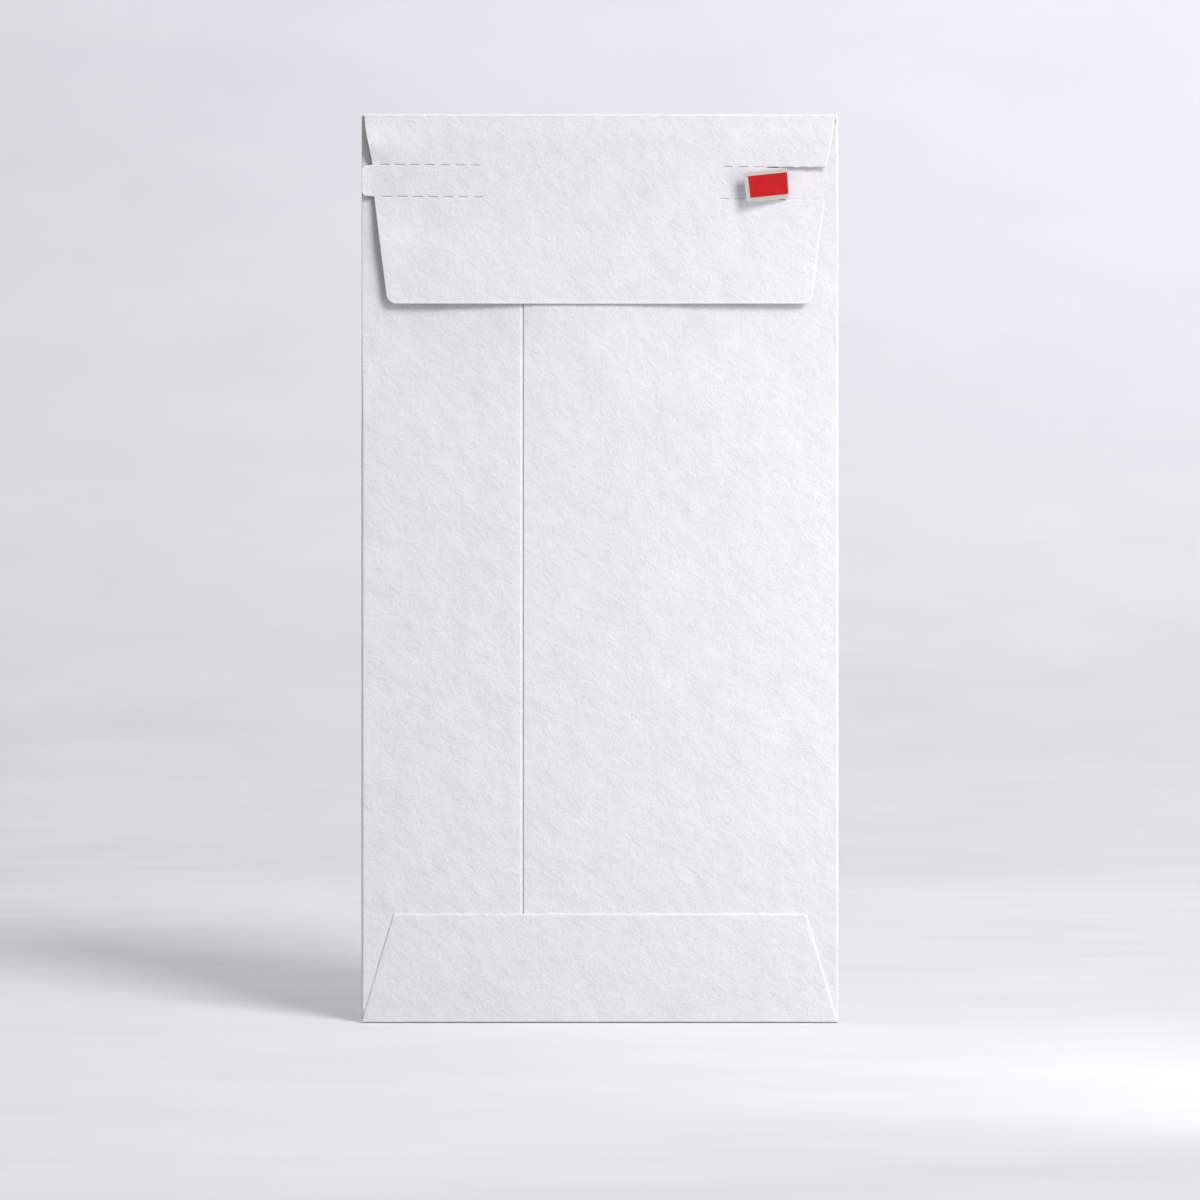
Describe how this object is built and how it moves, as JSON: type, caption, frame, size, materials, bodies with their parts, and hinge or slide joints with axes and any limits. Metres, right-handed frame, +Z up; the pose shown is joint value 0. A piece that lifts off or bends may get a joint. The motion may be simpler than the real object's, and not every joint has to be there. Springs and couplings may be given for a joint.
{
  "type": "envelope",
  "caption": "Tall paper pocket envelope with a closure flap on its short end, a perforated tear strip with a red tear tape, a side seam and a bottom flap.",
  "frame": {"origin": "centre of the bounding box in X and Y, on the surface that the bottom fold stands on", "axes": "+Z up from the bottom fold to the closure crease, +X to the right as seen from the flap side, +Y out of the plain address side; the flaps face -Y"},
  "size_m": [0.12, 0.0046, 0.2285],
  "materials": {
    "paper": "matte",
    "gum": "satin",
    "tear_tape": "satin"
  },
  "bodies": {
    "pocket": {"front_panel": "paper", "left_side_fold": "paper", "right_side_fold": "paper", "left_seam_flap": "paper", "right_back_panel": "paper", "side_seam_glue": "gum", "bottom_fold": "paper", "bottom_flap": "paper", "bottom_flap_glue": "gum", "top_fold": "paper"},
    "closure_flap": {"flap_upper_band": "paper", "tear_strip": "paper", "torn_strip_run": "paper", "flap_lower_panel": "paper", "closure_gum": "gum", "tear_tape": "tear_tape", "tear_tape_run": "tear_tape", "strip_curl": "paper", "tape_curl": "tear_tape"},
    "torn_end": {"torn_strip_end": "paper", "tear_tape_end": "tear_tape"},
    "tab": {"starter_tab": "paper", "tear_tape_start": "tear_tape"}
  },
  "joints": [
    {"name": "closure_flap_hinge", "type": "hinge", "parent": "pocket", "child": "closure_flap", "pos_m": [0, 0.00128, 0.22775], "axis": [-1, 0, 0], "range_deg": [0, 180], "deforming": ["top_fold"]},
    {"name": "torn_end_bend", "type": "hinge", "parent": "closure_flap", "child": "torn_end", "pos_m": [0.04584, -0.00091, 0.2114], "axis": [-0.0637, 0, 0.998], "range_deg": [0, 135], "deforming": ["strip_curl", "tape_curl"]},
    {"name": "starter_tab_bend", "type": "hinge", "parent": "closure_flap", "child": "tab", "pos_m": [-0.0569, 0.00022, 0.2114], "axis": [0, 0, 1], "range_deg": [0, 150]}
  ]
}
